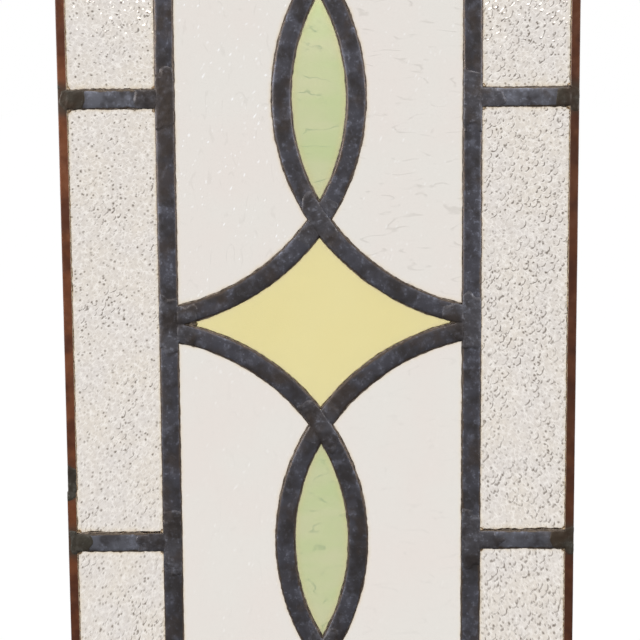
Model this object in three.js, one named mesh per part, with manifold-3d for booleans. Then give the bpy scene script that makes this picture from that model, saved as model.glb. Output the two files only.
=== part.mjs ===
// A leaded glass window panel: panes of textured and coloured glass held in soldered lead cames,
// bound round the outside by a thin metal edge channel. Millimetres, +Z up, +X to the right.
// The front of the panel faces -Y. The origin is at the middle of the bottom edge, half way through
// the panel's thickness, where the panel stands in its frame.
import * as THREE from "three";
import { mergeVertices } from "three/addons/utils/BufferGeometryUtils.js";
import Module from "manifold-3d";

const wasm = await Module();
wasm.setup();

// The design, measured on the centre lines of the cames.
const diamondHalfHeight = 56.5; // middle of the yellow diamond to the crossing above it
const almondHalfHeight = 65.5; // middle of a green almond to the crossing at its tip
const almondHalfWidth = 20.2; // an almond's axis to its came, at the widest
const fieldHalfWidth = 82.8; // the panel's axis to the long upright cames
const armRise = 3.8; // the diamond's middle line to the end of an arm, on the long came
const borderWidth = 57.2; // long came to the outer edge of the panel

// Glass, and the bed of cement that holds it in the cames.
const glassThickness = 3.2;
const glassBed = 0.3; // left on each face of the glass, under the leaves
const glassEdgeClearance = 0.7; // left between the edge of the glass and the metal beside it

// Lead came: an H section, two leaves joined by a heart.
const cameFace = 10.2;
const cameFlat = 6.4; // flat middle of the face, between its sloping shoulders
const leafThickness = 1.3;
const leafEdgeThickness = 0.7;
const heartThickness = 1.6;

// Edge channel: a U section that opens inwards. Its left side is in two lengths.
const edgeFace = 4.7;
const edgeWall = 0.9;
const edgeWeb = 1.0;
const spliceDrop = 93; // the panel's middle down to the butt splice in the left side
const spliceStep = 0.5; // how far the lower length stands out

// Joints.
const jointGap = 0.3; // between the end of a member and the member that it butts against
const solderSeat = 0.05; // between solder and the loose end that it is run over
const solderRise = 0.6; // height of a solder joint above the face
const solderRoot = 0.5; // depth of its middle below the face
const uprightSolder = { halfWidth: 13, halfHeight: 12.5 };
const crossingSolder = { halfWidth: 10.5, halfHeight: 13 };
const barEndSolder = { halfWidth: 9, halfHeight: 7.5 };
const cameEndSolder = { halfWidth: 9.5, halfHeight: 9 };
const cornerSolder = { halfWidth: 9, halfHeight: 9 };
const spliceSolder = { halfWidth: 6, halfHeight: 13 };

// How finely curves are faceted.
const arcSteps = 12;
const solderSides = 12;
const solderRings = 4;

// Levels through the thickness, counted from the middle plane.
const leafUnderside = glassThickness / 2 + glassBed;
const shoulderTop = leafUnderside + leafEdgeThickness;
const cameTop = leafUnderside + leafThickness;
const edgeTop = leafUnderside + edgeWall;
const cutterTop = 3 * cameTop; // a cutter of this half depth passes right through the panel

// Places in the panel, counted from the middle of the diamond.
const almondMiddle = diamondHalfHeight + almondHalfHeight;
const outerCrossing = diamondHalfHeight + 2 * almondHalfHeight;
const sightHalfHeight = 2 * (diamondHalfHeight + almondHalfHeight);
const halfHeight = sightHalfHeight + edgeFace;
const halfWidth = fieldHalfWidth + borderWidth;
const crossingAngle = 2 * Math.atan(almondHalfWidth / almondHalfHeight); // came to upright
const jointReach = 1.5 * cameFace; // how far from a crossing two cames can meet

const finish = (color, roughness, metalness) =>
  new THREE.MeshStandardMaterial({ color, roughness, metalness });
const lead = finish(0x43444d, 0.5, 0.7);
const edgeMetal = finish(0x5e3320, 0.55, 0.4);
const borderGlass = finish(0xe4dfd6, 0.35, 0);
const fieldGlass = finish(0xe8e5e0, 0.15, 0);
const greenGlass = finish(0xc6d29e, 0.2, 0);
const yellowGlass = finish(0xe5d998, 0.15, 0);

// A closed three.js geometry as a solid that can be joined and cut.
function solidOf(geometry) {
  geometry.deleteAttribute("normal");
  geometry.deleteAttribute("uv");
  const merged = mergeVertices(geometry, 1e-4);
  const vertProperties = new Float32Array(merged.attributes.position.array);
  const triVerts = new Uint32Array(merged.index.array);
  return new wasm.Manifold(new wasm.Mesh({ numProp: 3, vertProperties, triVerts }));
}

// A solid as a named mesh.
function meshOf(name, solid, material) {
  const { vertProperties, triVerts } = solid.getMesh();
  const geometry = new THREE.BufferGeometry();
  geometry.setAttribute("position", new THREE.BufferAttribute(vertProperties, 3));
  geometry.setIndex(new THREE.BufferAttribute(triVerts, 1));
  geometry.computeVertexNormals();
  const mesh = new THREE.Mesh(geometry, material);
  mesh.name = name;
  return mesh;
}

const joined = (solids) => solids.reduce((all, next) => all.add(next));
const largest = (solid) =>
  solid.decompose().reduce((best, next) => (next.volume() > best.volume() ? next : best));

// A point in the plane of the panel, with its height counted from the middle of the diamond.
const at = (x, height) => new THREE.Vector2(x, halfHeight + height);

// A flat outline in the plane of the panel as a solid between two levels of Y.
function plate(outline, low, high) {
  const depth = high - low;
  const shape = new THREE.Shape(outline);
  const geometry = new THREE.ExtrudeGeometry(shape, { depth, bevelEnabled: false });
  geometry.rotateX(Math.PI / 2).translate(0, high, 0);
  return solidOf(geometry);
}

function box(corner, opposite) {
  const low = corner.clone().min(opposite);
  const high = corner.clone().max(opposite);
  return [low, new THREE.Vector2(high.x, low.y), high, new THREE.Vector2(low.x, high.y)];
}
const throughPlate = (outline) => plate(outline, -cutterTop, cutterTop);

// Sections are lists of [across, depth]. This one is mirrored both ways from its points in a quarter.
function mirrored(quarter) {
  const back = [...quarter].reverse();
  return [
    ...quarter,
    ...back.map(([across, depth]) => [-across, depth]),
    ...quarter.map(([across, depth]) => [-across, -depth]),
    ...back.map(([across, depth]) => [across, -depth]),
  ];
}

const cameSection = mirrored([
  [heartThickness / 2, leafUnderside],
  [cameFace / 2, leafUnderside],
  [cameFace / 2, shoulderTop],
  [cameFlat / 2, cameTop],
]);
const cameOutside = (clearance) =>
  mirrored([
    [cameFace / 2 + clearance, shoulderTop + clearance],
    [cameFlat / 2 + clearance, cameTop + clearance],
  ]);
const curtain = (halfThickness) => mirrored([[halfThickness, cutterTop]]);

const edgeSection = [
  [0, -edgeTop],
  [edgeFace, -edgeTop],
  [edgeFace, -leafUnderside],
  [edgeWeb, -leafUnderside],
  [edgeWeb, leafUnderside],
  [edgeFace, leafUnderside],
  [edgeFace, edgeTop],
  [0, edgeTop],
];
const edgeOutside = (clearance) => [
  [-clearance, -edgeTop - clearance],
  [edgeFace + clearance, -edgeTop - clearance],
  [edgeFace + clearance, edgeTop + clearance],
  [-clearance, edgeTop + clearance],
];

// A section run straight from one point of the plane to another.
function straight(section, start, end) {
  const along = new THREE.Vector3(end.x - start.x, 0, end.y - start.y);
  const depth = along.length();
  const shape = new THREE.Shape(section.map(([across, level]) => new THREE.Vector2(across, level)));
  const geometry = new THREE.ExtrudeGeometry(shape, { depth, bevelEnabled: false });
  const up = new THREE.Vector3(0, 1, 0);
  const across = new THREE.Vector3().crossVectors(up, along.normalize());
  const frame = new THREE.Matrix4().makeBasis(across, up, along).setPosition(start.x, 0, start.y);
  return solidOf(geometry.applyMatrix4(frame));
}

// A circular arc in the plane of the panel.
class PlanArc extends THREE.Curve {
  constructor(centre, radius, from, to) {
    super();
    Object.assign(this, { centre, radius, from, to });
  }

  getPoint(t, target = new THREE.Vector3()) {
    const bearing = this.from + (this.to - this.from) * t;
    const x = this.centre.x + this.radius * Math.cos(bearing);
    return target.set(x, 0, this.centre.y + this.radius * Math.sin(bearing));
  }

  reversed() {
    return new PlanArc(this.centre, this.radius, this.to, this.from);
  }
}

// The arc that leaves one point along a heading and ends at another point.
function arcBetween(start, heading, end) {
  const chord = end.clone().sub(start);
  const side = new THREE.Vector2(-heading.y, heading.x);
  const radius = chord.lengthSq() / (2 * chord.dot(side)); // negative where the arc bends right
  const centre = start.clone().addScaledVector(side, radius);
  const from = Math.atan2(start.y - centre.y, start.x - centre.x);
  const turn = 2 * Math.asin(chord.length() / (2 * radius));
  return new PlanArc(centre, Math.abs(radius), from, from + turn);
}

// A section run along arcs that follow one another.
function bent(section, arcs) {
  const extrudePath = new THREE.CurvePath();
  arcs.forEach((arc) => extrudePath.add(arc));
  const shape = new THREE.Shape(section.map(([across, level]) => new THREE.Vector2(level, across)));
  const steps = arcSteps * arcs.length;
  return solidOf(new THREE.ExtrudeGeometry(shape, { extrudePath, steps, bevelEnabled: false }));
}

// The arcs of the design. side is -1 on the left and 1 on the right, level -1 below and 1 above.
const heading = (side, rise) =>
  new THREE.Vector2(side * Math.sin(crossingAngle), rise * Math.cos(crossingAngle));
const almondArc = (side, level) =>
  arcBetween(at(0, level * outerCrossing), heading(side, -level), at(0, level * diamondHalfHeight));
const armArc = (side, level) =>
  arcBetween(
    at(0, level * diamondHalfHeight),
    heading(side, -level),
    at(side * fieldHalfWidth, level * armRise),
  );
const outerArmArc = (side, level) =>
  arcBetween(
    at(0, level * outerCrossing),
    heading(side, level),
    at(side * fieldHalfWidth, level * (sightHalfHeight - armRise)),
  );

// Cutters that leave a member its clearance. slack brings each one that much nearer.
const gapTo = (run, slack) => run(curtain(cameFace / 2 + jointGap - slack));
const gapAtCrossing = ({ run, height }, slack) => {
  const joint = box(at(-jointReach, height - jointReach), at(jointReach, height + jointReach));
  return gapTo(run, slack).intersect(throughPlate(joint));
};
function sightPlate(slack) {
  const inset = jointGap - slack;
  const left = -fieldHalfWidth - borderWidth + edgeFace + inset;
  const top = sightHalfHeight - inset;
  return throughPlate([
    at(left, top),
    at(left, -spliceDrop),
    at(left - spliceStep, -spliceDrop),
    at(left - spliceStep, -top),
    at(halfWidth - edgeFace - inset, -top),
    at(halfWidth - edgeFace - inset, top),
  ]);
}
const halfPlate = (level, slack) => {
  const near = at(-halfWidth, level * (jointGap / 2 - slack));
  return throughPlate(box(near, at(halfWidth, level * halfHeight)));
};

// Runs: each lays any section along the line of one came.
const upright = (side) => (section) =>
  straight(section, at(side * fieldHalfWidth, -halfHeight), at(side * fieldHalfWidth, halfHeight));
const bar = (side, level) => (section) => {
  const height = level * almondMiddle;
  return straight(section, at(side * halfWidth, height), at(side * fieldHalfWidth, height));
};
const curve =
  (...arcs) =>
  (section) =>
    bent(section, arcs);

const leftUpright = upright(-1);
const rightUpright = upright(1);
const upperOgee = curve(almondArc(-1, 1), armArc(1, 1));
const topOgee = curve(outerArmArc(-1, 1).reversed(), almondArc(1, 1));
const lowerOgee = curve(armArc(-1, -1).reversed(), almondArc(1, -1).reversed());
const bottomOgee = curve(almondArc(-1, -1).reversed(), outerArmArc(1, -1));

// Every came, with the run that it follows, the post that it butts against, and the came that
// crosses its end. half is 1 for a came kept above the diamond's middle line and -1 for one below.
const cames = {
  long_came_left: { run: leftUpright },
  long_came_right: { run: rightUpright },
  border_bar_upper_left: { run: bar(-1, 1), post: leftUpright },
  border_bar_upper_right: { run: bar(1, 1), post: rightUpright },
  border_bar_lower_left: { run: bar(-1, -1), post: leftUpright },
  border_bar_lower_right: { run: bar(1, -1), post: rightUpright },
  ogee_came_upper: {
    run: upperOgee,
    half: 1,
    post: rightUpright,
    crossed: { run: topOgee, height: outerCrossing },
  },
  ogee_came_top: {
    run: topOgee,
    post: leftUpright,
    crossed: { run: upperOgee, height: diamondHalfHeight },
  },
  ogee_came_lower: {
    run: lowerOgee,
    half: -1,
    post: leftUpright,
    crossed: { run: bottomOgee, height: -outerCrossing },
  },
  ogee_came_bottom: {
    run: bottomOgee,
    post: rightUpright,
    crossed: { run: lowerOgee, height: -diamondHalfHeight },
  },
  arm_came_upper_left: {
    run: curve(armArc(-1, 1)),
    half: 1,
    post: leftUpright,
    crossed: { run: upperOgee, height: diamondHalfHeight },
  },
  arm_came_lower_right: {
    run: curve(armArc(1, -1)),
    half: -1,
    post: rightUpright,
    crossed: { run: lowerOgee, height: -diamondHalfHeight },
  },
  arm_came_top_right: {
    run: curve(outerArmArc(1, 1)),
    post: rightUpright,
    crossed: { run: topOgee, height: outerCrossing },
  },
  arm_came_bottom_left: {
    run: curve(outerArmArc(-1, -1)),
    post: leftUpright,
    crossed: { run: bottomOgee, height: -outerCrossing },
  },
};

// A came laid with any section and cut to length.
function cutToLength({ run, half, post, crossed }, section, slack = 0) {
  let solid = run(section).intersect(sightPlate(slack));
  if (half) solid = solid.intersect(halfPlate(half, slack));
  if (post) solid = solid.subtract(gapTo(post, slack));
  if (crossed) solid = solid.subtract(gapAtCrossing(crossed, slack));
  return largest(solid);
}

// The lengths of edge channel, clockwise from the bottom left as seen from the front. start and end
// are the ends of the outer edge. An end is mitred unless its cut is named as square.
const bottomLeft = at(-halfWidth - spliceStep, -halfHeight);
const bottomRight = at(halfWidth, -halfHeight);
const topLeft = at(-halfWidth, halfHeight);
const topRight = at(halfWidth, halfHeight);
const channels = {
  edge_channel_left_lower: {
    start: bottomLeft,
    end: at(-halfWidth - spliceStep, -spliceDrop),
    endCut: "square",
  },
  edge_channel_left_upper: { start: at(-halfWidth, -spliceDrop), end: topLeft, startCut: "square" },
  edge_channel_top: { start: topLeft, end: topRight },
  edge_channel_right: { start: topRight, end: bottomRight },
  edge_channel_bottom: { start: bottomRight, end: bottomLeft },
};

// A length of channel laid with any section, its ends mitred or squared.
function cutChannel({ start, end, startCut, endCut }, section, slack = 0) {
  const along = end.clone().sub(start).normalize();
  const inward = new THREE.Vector2(along.y, -along.x);
  const depth = 2 * edgeFace;
  const gap = jointGap / 2 - slack;
  const corner = (point, direction, cut, inset) => {
    const slope = cut === "square" ? 0 : 1;
    const shift = gap * Math.hypot(1, slope) + inset * slope;
    return point.clone().addScaledVector(direction, shift).addScaledVector(inward, inset);
  };
  const back = along.clone().negate();
  const ends = [
    corner(start, along, startCut, -depth),
    corner(end, back, endCut, -depth),
    corner(end, back, endCut, depth),
    corner(start, along, startCut, depth),
  ];
  return straight(section, start, end).intersect(throughPlate(ends));
}

// Solder is run over a joint on both faces of the panel. It belongs to the member that passes
// through or round the joint, and lies over the loose ends of the others.
const edgeBand = mirrored([[edgeFace, cutterTop]]);
const metalPlan = joined([
  ...Object.values(cames).map((came) => cutToLength(came, curtain(cameFace / 2), jointGap / 2)),
  ...Object.values(channels).map((channel) => cutChannel(channel, edgeBand, jointGap / 2)),
]).intersect(throughPlate([bottomLeft, bottomRight, topRight, topLeft]));
const throat = plate([bottomLeft, bottomRight, topRight, topLeft], -leafUnderside, leafUnderside);

function solderOver({ place, size, face }) {
  const lumps = [-1, 1].map((side) => {
    const lump = new THREE.SphereGeometry(1, solderSides, solderRings).rotateX(Math.PI / 2);
    lump.scale(size.halfWidth, solderRise + solderRoot, size.halfHeight);
    lump.translate(place.x, side * (face - solderRoot), place.y);
    return solidOf(lump);
  });
  return joined(lumps).intersect(metalPlan).subtract(throat);
}

const solderJoints = [];
function addJoint(owner, others, place, size, face = cameTop) {
  solderJoints.push({ owner, others, place, size, face });
}

// Where border bars meet the long cames and the edge.
for (const side of [-1, 1]) {
  const hand = side < 0 ? "left" : "right";
  for (const level of [-1, 1]) {
    const row = level < 0 ? "lower" : "upper";
    const barEnds = [`border_bar_${row}_${hand}`];
    const edge = side < 0 ? `edge_channel_left_${row}` : "edge_channel_right";
    const height = level * almondMiddle;
    addJoint(`long_came_${hand}`, barEnds, at(side * fieldHalfWidth, height), uprightSolder);
    addJoint(edge, barEnds, at(side * (halfWidth - edgeFace), height), barEndSolder);
  }
}

// Where the diamond's arms meet the long cames.
addJoint(
  "long_came_left",
  ["arm_came_upper_left", "ogee_came_lower"],
  at(-fieldHalfWidth, 0),
  uprightSolder,
);
addJoint(
  "long_came_right",
  ["ogee_came_upper", "arm_came_lower_right"],
  at(fieldHalfWidth, 0),
  uprightSolder,
);

// Where curved cames cross.
addJoint(
  "ogee_came_upper",
  ["ogee_came_top", "arm_came_upper_left"],
  at(0, diamondHalfHeight),
  crossingSolder,
);
addJoint(
  "ogee_came_lower",
  ["ogee_came_bottom", "arm_came_lower_right"],
  at(0, -diamondHalfHeight),
  crossingSolder,
);
addJoint(
  "ogee_came_top",
  ["ogee_came_upper", "arm_came_top_right"],
  at(0, outerCrossing),
  crossingSolder,
);
addJoint(
  "ogee_came_bottom",
  ["ogee_came_lower", "arm_came_bottom_left"],
  at(0, -outerCrossing),
  crossingSolder,
);

// Where cames end at the top and bottom edges.
addJoint(
  "edge_channel_top",
  ["long_came_left", "ogee_came_top"],
  at(-fieldHalfWidth, sightHalfHeight),
  cameEndSolder,
);
addJoint(
  "edge_channel_top",
  ["long_came_right", "arm_came_top_right"],
  at(fieldHalfWidth, sightHalfHeight),
  cameEndSolder,
);
addJoint(
  "edge_channel_bottom",
  ["long_came_left", "arm_came_bottom_left"],
  at(-fieldHalfWidth, -sightHalfHeight),
  cameEndSolder,
);
addJoint(
  "edge_channel_bottom",
  ["long_came_right", "ogee_came_bottom"],
  at(fieldHalfWidth, -sightHalfHeight),
  cameEndSolder,
);

// The corners and the splice of the edge channel.
const splice = at(-halfWidth + edgeFace / 2, -spliceDrop);
addJoint("edge_channel_top", ["edge_channel_left_upper"], topLeft, cornerSolder, edgeTop);
addJoint("edge_channel_top", ["edge_channel_right"], topRight, cornerSolder, edgeTop);
addJoint("edge_channel_bottom", ["edge_channel_left_lower"], bottomLeft, cornerSolder, edgeTop);
addJoint("edge_channel_bottom", ["edge_channel_right"], bottomRight, cornerSolder, edgeTop);
addJoint("edge_channel_left_upper", ["edge_channel_left_lower"], splice, spliceSolder, edgeTop);

// What a member keeps clear when solder is run over it.
const keptClear = (name) =>
  cames[name]
    ? cutToLength(cames[name], cameOutside(solderSeat), solderSeat)
    : cutChannel(channels[name], edgeOutside(solderSeat), solderSeat);

function withSolder(name, member) {
  const solders = solderJoints
    .filter((joint) => joint.owner === name)
    .map((joint) =>
      joint.others.reduce((rest, other) => rest.subtract(keptClear(other)), solderOver(joint)),
    );
  return largest(joined([member, ...solders]));
}

// The glass: one sheet, parted along the heart of every came.
function panes() {
  const inset = edgeWeb + glassEdgeClearance;
  const outline = box(
    at(-halfWidth + inset, -halfHeight + inset),
    at(halfWidth - inset, halfHeight - inset),
  );
  const heart = curtain(heartThickness / 2 + glassEdgeClearance);
  return Object.values(cames)
    .reduce(
      (rest, { run }) => rest.subtract(run(heart)),
      plate(outline, -glassThickness / 2, glassThickness / 2),
    )
    .decompose();
}

// Each pane's name, a point well inside it, and its glass.
const borderMiddle = fieldHalfWidth + borderWidth / 2;
const fieldMiddle = (fieldHalfWidth + almondHalfWidth) / 2;
const outerPaneMiddle = (almondMiddle + sightHalfHeight) / 2;
const paneList = [
  ["diamond_pane", at(0, 0), yellowGlass],
  ["half_diamond_pane_top", at(0, sightHalfHeight), yellowGlass],
  ["half_diamond_pane_bottom", at(0, -sightHalfHeight), yellowGlass],
  ["almond_pane_upper", at(0, almondMiddle), greenGlass],
  ["almond_pane_lower", at(0, -almondMiddle), greenGlass],
  ["field_pane_upper_left", at(-fieldMiddle, almondMiddle), fieldGlass],
  ["field_pane_upper_right", at(fieldMiddle, almondMiddle), fieldGlass],
  ["field_pane_lower_left", at(-fieldMiddle, -almondMiddle), fieldGlass],
  ["field_pane_lower_right", at(fieldMiddle, -almondMiddle), fieldGlass],
  ["border_pane_top_left", at(-borderMiddle, outerPaneMiddle), borderGlass],
  ["border_pane_top_right", at(borderMiddle, outerPaneMiddle), borderGlass],
  ["border_pane_middle_left", at(-borderMiddle, 0), borderGlass],
  ["border_pane_middle_right", at(borderMiddle, 0), borderGlass],
  ["border_pane_bottom_left", at(-borderMiddle, -outerPaneMiddle), borderGlass],
  ["border_pane_bottom_right", at(borderMiddle, -outerPaneMiddle), borderGlass],
];

const panel = new THREE.Group();
for (const [name, channel] of Object.entries(channels)) {
  const member = withSolder(name, cutChannel(channel, edgeSection));
  panel.add(meshOf(name, member, edgeMetal));
}
for (const [name, came] of Object.entries(cames)) {
  const member = withSolder(name, cutToLength(came, cameSection));
  panel.add(meshOf(name, member, lead));
}
const cutPanes = panes();
for (const [name, place, glass] of paneList) {
  const probe = throughPlate(box(place.clone().addScalar(-1), place.clone().addScalar(1)));
  const pane = cutPanes.find((piece) => piece.intersect(probe).volume() > 0);
  panel.add(meshOf(name, pane, glass));
}

export default panel;
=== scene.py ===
# %% [markdown]
# # A leaded glass panel
# This lesson dresses the solid model of a leaded light: textured, clear, green and yellow glass held in soldered
# lead cames, with a thin brown metal channel round the edge. The solids come in first, and everything else is
# built round them in the same frame: metres, +Z up the panel, +X to the right, and the front towards -Y.

# %% Load the solids
from math import asin, atan, atan2, cos, degrees, exp, pi, radians, sin

import bmesh
import bpy
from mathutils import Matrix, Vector


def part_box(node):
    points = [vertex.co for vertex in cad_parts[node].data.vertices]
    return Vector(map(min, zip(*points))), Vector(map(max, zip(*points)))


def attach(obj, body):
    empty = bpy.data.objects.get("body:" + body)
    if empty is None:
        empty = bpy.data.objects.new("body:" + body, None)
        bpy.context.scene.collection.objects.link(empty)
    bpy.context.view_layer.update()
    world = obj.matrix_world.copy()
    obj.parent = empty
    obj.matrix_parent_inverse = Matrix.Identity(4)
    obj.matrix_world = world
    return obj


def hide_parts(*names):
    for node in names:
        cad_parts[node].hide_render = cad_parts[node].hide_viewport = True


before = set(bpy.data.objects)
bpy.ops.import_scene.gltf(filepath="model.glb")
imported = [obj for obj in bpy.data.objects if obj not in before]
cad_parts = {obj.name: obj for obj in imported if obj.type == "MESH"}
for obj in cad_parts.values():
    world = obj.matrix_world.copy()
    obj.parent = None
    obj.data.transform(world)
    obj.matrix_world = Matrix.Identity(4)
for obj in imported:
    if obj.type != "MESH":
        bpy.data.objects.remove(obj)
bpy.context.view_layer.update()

# %% [markdown]
# ## The design
# The pattern is drawn on the centre lines of the cames, and it is even about the middle of the yellow diamond.
# These are the same few sizes that the solids were built from, so a new piece lands on the old one.

# %% Name the sizes
MM = 0.001
MIDDLE = 248.7 * MM  # height of the diamond's middle
DIAMOND = 56.5 * MM  # the diamond's middle to the crossing above it
ALMOND = 65.5 * MM  # an almond's middle to the crossing at its tip
ALMOND_WIDTH = 20.2 * MM  # an almond's axis to its came, at the widest
FIELD = 82.8 * MM  # the panel's axis to the long cames
ARM_RISE = 3.8 * MM
HALF_WIDTH = 140 * MM
SPLICE_DROP = 93 * MM
SPLICE_STEP = 0.5 * MM
SPLICE_SOLDER = 5 * MM  # the splice to the middle of its solder, upwards
EDGE_FACE = 4.7 * MM
CAME_FACE = 10.2 * MM
CAME_TOP = 3.2 * MM  # middle plane to the face of the came
LEAF_UNDERSIDE = 1.9 * MM
GAP = 0.3 * MM
SIGHT = 2 * (DIAMOND + ALMOND)
BAR_HEIGHT = DIAMOND + ALMOND
OUTER = DIAMOND + 2 * ALMOND
CROSSING = 2 * atan(ALMOND_WIDTH / ALMOND)  # a curved came's lean at a crossing


def at(x, height):
    """A point of the middle plane, its height counted from the middle of the diamond."""
    return Vector((x, 0, MIDDLE + height))


print("crossing angle:", round(degrees(CROSSING), 1), "degrees")

# %% [markdown]
# ## Camera
# The photograph looks slightly down on the panel from the front. Its position was worked out from thirty points of
# the pattern: a long lens, tilted down by seven and a half degrees, a little under a metre away.

# %% Place the camera
PHOTO_WIDTH = 640  # pixels
FOCAL_LENGTH = 1700  # pixels
SENSOR = 36  # mm
camera = bpy.data.objects.new("camera", bpy.data.cameras.new("camera"))
bpy.context.collection.objects.link(camera)
camera.location = (-0.00268, -0.92237, 0.37216)
camera.rotation_euler = [radians(a) for a in (82.4698, 0.3866, -0.2111)]
camera.data.sensor_width = SENSOR
camera.data.lens = SENSOR * FOCAL_LENGTH / PHOTO_WIDTH
camera.data.clip_start = 0.01
bpy.context.scene.camera = camera
print("camera lens:", round(camera.data.lens, 1), "mm")

# %% [markdown]
# ## Light
# The panel was photographed against plain white. The sky is white to the eye and through the glass, and dimmer as a
# source of light, so that large soft lamps can model the rounded lead: one at each side, one above and one behind.

# %% White surroundings
SKY_AS_LIGHT = 0.26
scene = bpy.context.scene
scene.view_settings.view_transform = "Standard"
world = bpy.data.worlds.new("studio")
scene.world = world
world.use_nodes = True
sky = world.node_tree.nodes
sky_links = world.node_tree.links
background = sky["Background"]
background.inputs["Color"].default_value = (1, 1, 1, 1)
rays = sky.new("ShaderNodeLightPath")
seen = sky.new("ShaderNodeMath")
seen.operation = "MAXIMUM"
sky_links.new(rays.outputs["Is Camera Ray"], seen.inputs[0])
sky_links.new(rays.outputs["Is Transmission Ray"], seen.inputs[1])
strength = sky.new("ShaderNodeMapRange")
strength.inputs["To Min"].default_value = SKY_AS_LIGHT
strength.inputs["To Max"].default_value = 1.0
sky_links.new(seen.outputs[0], strength.inputs["Value"])
sky_links.new(strength.outputs[0], background.inputs["Strength"])


def lamp(name, place, size, power):
    """A square soft lamp that points at the middle of the panel."""
    light = bpy.data.lights.new(name, "AREA")
    light.size = size
    light.energy = power
    ob = bpy.data.objects.new(name, light)
    bpy.context.collection.objects.link(ob)
    ob.location = place
    ob.rotation_euler = (at(0, 0) - Vector(place)).to_track_quat("-Z", "Y").to_euler()


lamp("side_lamp_left", (-0.8, -0.3, 0.45), 0.5, 6.4)
lamp("side_lamp_right", (0.8, -0.3, 0.45), 0.5, 4.0)
lamp("top_lamp", (0.1, -0.55, 1.5), 0.8, 10)
lamp("back_lamp", (0.2, 1.4, 1.1), 1.2, 6)
print("lamps:", len(bpy.data.lights))

# %% [markdown]
# ## Hands
# A few small helpers stand in for the mouse. One leaves a single object chosen, one picks faces, edges or points by
# a test on their place, and one adds a modifier and applies it.

# %% Choose, pick and modify
def only(ob):
    """Nothing chosen but this object."""
    if bpy.context.object and bpy.context.object.mode == "EDIT":
        bpy.ops.object.mode_set(mode="OBJECT")
    bpy.ops.object.select_all(action="DESELECT")
    ob.select_set(True)
    bpy.context.view_layer.objects.active = ob
    return ob


def edit(ob):
    only(ob)
    bpy.ops.object.mode_set(mode="EDIT")
    bpy.ops.mesh.select_all(action="SELECT")


def pick(test, kind="VERT"):
    """In edit mode, choose the points, edges or faces that pass a test."""
    bpy.ops.mesh.select_mode(type=kind)
    bpy.ops.mesh.select_all(action="DESELECT")
    mesh = bmesh.from_edit_mesh(bpy.context.edit_object.data)
    elements = {"VERT": mesh.verts, "EDGE": mesh.edges, "FACE": mesh.faces}[kind]
    for element in [e for e in elements if test(e)]:
        element.select_set(True)
    mesh.select_flush_mode()
    bmesh.update_edit_mesh(bpy.context.edit_object.data)


def modify(ob, kind, **settings):
    """Add a modifier, set it and apply it."""
    only(ob)
    bpy.ops.object.modifier_add(type=kind)
    modifier = ob.modifiers[-1]
    for name, value in settings.items():
        setattr(modifier, name, value)
    bpy.ops.object.modifier_apply(modifier=modifier.name)


def slice_off(ob, place, normal):
    """Cut an object by a plane, close the cut and drop the side that the normal points to."""
    edit(ob)
    bpy.ops.mesh.bisect(plane_co=place, plane_no=normal, use_fill=True, clear_outer=True)
    bpy.ops.object.mode_set(mode="OBJECT")


def outwards(ob):
    edit(ob)
    bpy.ops.mesh.normals_make_consistent(inside=False)
    bpy.ops.object.mode_set(mode="OBJECT")


def finish(ob, name, material, slot, *nodes):
    """Name a finished piece, dress it, and hide the solids that it replaces."""
    ob.name = ob.data.name = name
    ob.data.materials.clear()
    ob.data.materials.append(material)
    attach(ob, "root")
    if nodes:
        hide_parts(*nodes)
    print(name, len(ob.data.polygons), "faces")
    return ob


# %% [markdown]
# ## Patterns as node trees
# Patterns are built from nodes, by short calls that each add one node and hand back its output. The same calls work
# in a shader and in a geometry tree, so the relief of the glass and its tint can come from one pattern.

# %% Short calls for nodes
class Graph:
    """A node tree with one short call for each kind of node."""

    def __init__(self, tree):
        self.tree = tree

    def node(self, kind, inputs=(), out=0, **settings):
        made = self.tree.nodes.new(kind)
        for name, value in settings.items():
            setattr(made, name, value)
        for name, value in dict(inputs).items():
            if isinstance(value, bpy.types.NodeSocket):
                self.tree.links.new(value, made.inputs[name])
            else:
                made.inputs[name].default_value = value
        return made.outputs[out]

    def math(self, operation, a, b=0.0):
        return self.node("ShaderNodeMath", {0: a, 1: b}, operation=operation)

    def scaled(self, vector, scale):
        return self.node("ShaderNodeVectorMath", {0: vector, 1: scale}, operation="MULTIPLY")

    def along(self, vector, direction):
        """How far a vector points in a direction, from -1 to 1."""
        unit = self.node("ShaderNodeVectorMath", {0: vector}, operation="NORMALIZE")
        return self.node("ShaderNodeVectorMath", {0: unit, 1: direction}, out=1, operation="DOT_PRODUCT")

    def added(self, a, b):
        return self.node("ShaderNodeVectorMath", {0: a, 1: b}, operation="ADD")

    def noise(self, place, size, detail=2.0, roughness=0.5, out="Fac"):
        """Cloudy noise whose features are about so many millimetres across."""
        values = {"Vector": place, "Scale": 1000 / size, "Detail": detail, "Roughness": roughness}
        return self.node("ShaderNodeTexNoise", values, out=out)

    def cells(self, place, size, feature="F1"):
        """Cells about so many millimetres across, as the distance to their middle or to their edge."""
        values = {"Vector": place, "Scale": 1000 / size}
        return self.node("ShaderNodeTexVoronoi", values, out="Distance", feature=feature)

    def ramp(self, value, low, high, to_low=0.0, to_high=1.0):
        """A smooth step from one value to another."""
        values = {"Value": value, "From Min": low, "From Max": high, "To Min": to_low, "To Max": to_high}
        return self.node("ShaderNodeMapRange", values, interpolation_type="SMOOTHSTEP")

    def blend(self, factor, a, b):
        return self.node("ShaderNodeMix", {0: factor, 6: a, 7: b}, out=2, data_type="RGBA")

    def wobbled(self, place, size, amount):
        """The same place, moved about by noise by up to so many millimetres."""
        drift = self.node(
            "ShaderNodeVectorMath",
            {0: self.noise(place, size, out="Color"), 1: (0.5, 0.5, 0.5)},
            operation="SUBTRACT",
        )
        return self.added(place, self.scaled(drift, (2 * amount * MM,) * 3))


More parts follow.
